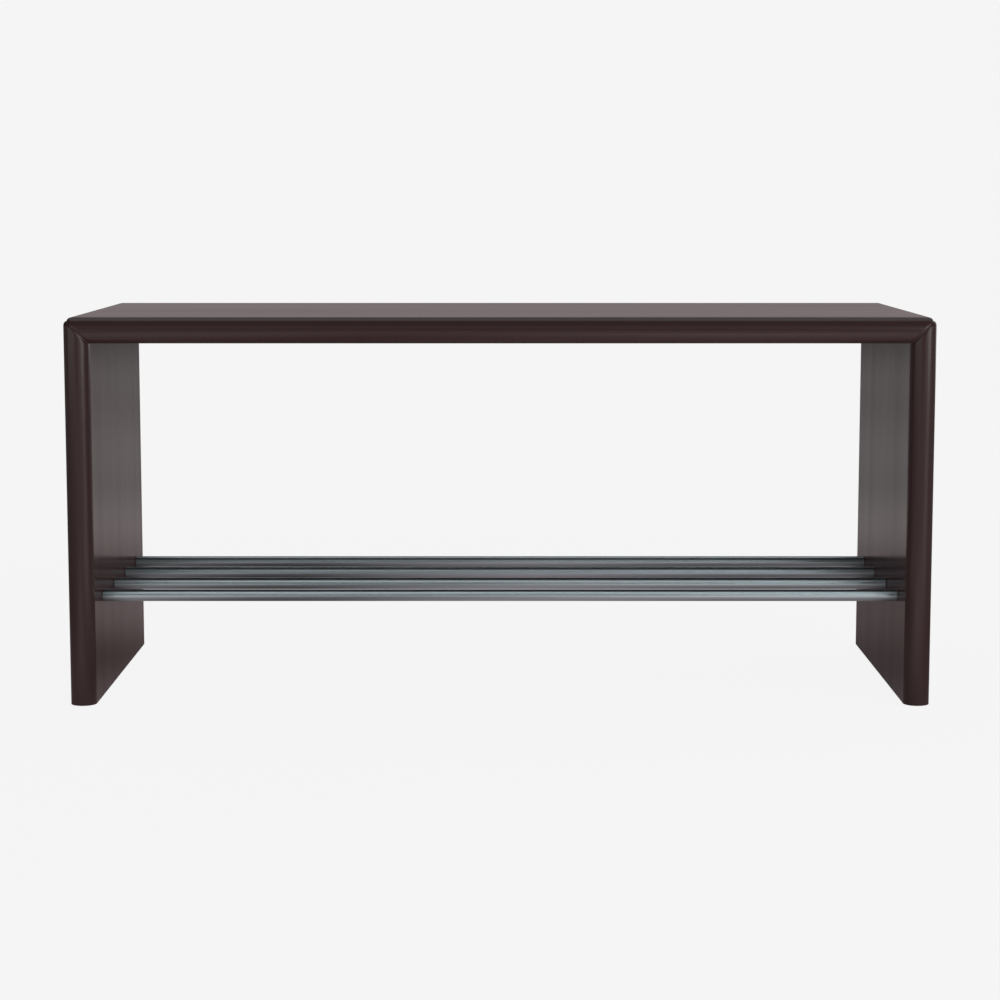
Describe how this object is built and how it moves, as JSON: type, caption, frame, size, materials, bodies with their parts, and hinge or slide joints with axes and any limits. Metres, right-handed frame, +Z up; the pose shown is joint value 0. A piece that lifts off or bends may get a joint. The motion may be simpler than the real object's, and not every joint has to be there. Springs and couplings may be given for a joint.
{
  "type": "shoe bench",
  "caption": "Low bench of mitred lacquered boards with a half-round front edge, and a row of steel rods between its sides to put shoes on.",
  "frame": {"origin": "on the floor, under the middle of the bench", "axes": "+X to the right along the width, +Y to the back, +Z up; the front edge with the half-round nose faces -Y"},
  "size_m": [1, 0.4, 0.452],
  "materials": {
    "dark_brown_lacquer": "satin lacquer, dark brown, on fibreboard",
    "satin_steel": "satin, ground and lightly polished along the rod",
    "birch_ply": "sawn and sanded, unfinished",
    "zinc_plated_steel": "bright zinc plate",
    "brown_nylon": "moulded, matt"
  },
  "bodies": {
    "root": {"seat_panel": "dark_brown_lacquer", "left_side_panel": "dark_brown_lacquer", "right_side_panel": "dark_brown_lacquer", "left_mitre_tongue": "birch_ply", "right_mitre_tongue": "birch_ply", "shoe_rod_1": "satin_steel", "shoe_rod_2": "satin_steel", "shoe_rod_3": "satin_steel", "shoe_rod_4": "satin_steel", "rod_spigot_left_1": "zinc_plated_steel", "rod_spigot_left_2": "zinc_plated_steel", "rod_spigot_left_3": "zinc_plated_steel", "rod_spigot_left_4": "zinc_plated_steel", "rod_spigot_right_1": "zinc_plated_steel", "rod_spigot_right_2": "zinc_plated_steel", "rod_spigot_right_3": "zinc_plated_steel", "rod_spigot_right_4": "zinc_plated_steel", "glide_front_left": "brown_nylon", "glide_back_left": "brown_nylon", "glide_front_right": "brown_nylon", "glide_back_right": "brown_nylon", "glide_pin_front_left": "zinc_plated_steel", "glide_pin_back_left": "zinc_plated_steel", "glide_pin_front_right": "zinc_plated_steel", "glide_pin_back_right": "zinc_plated_steel"}
  },
  "joints": []
}
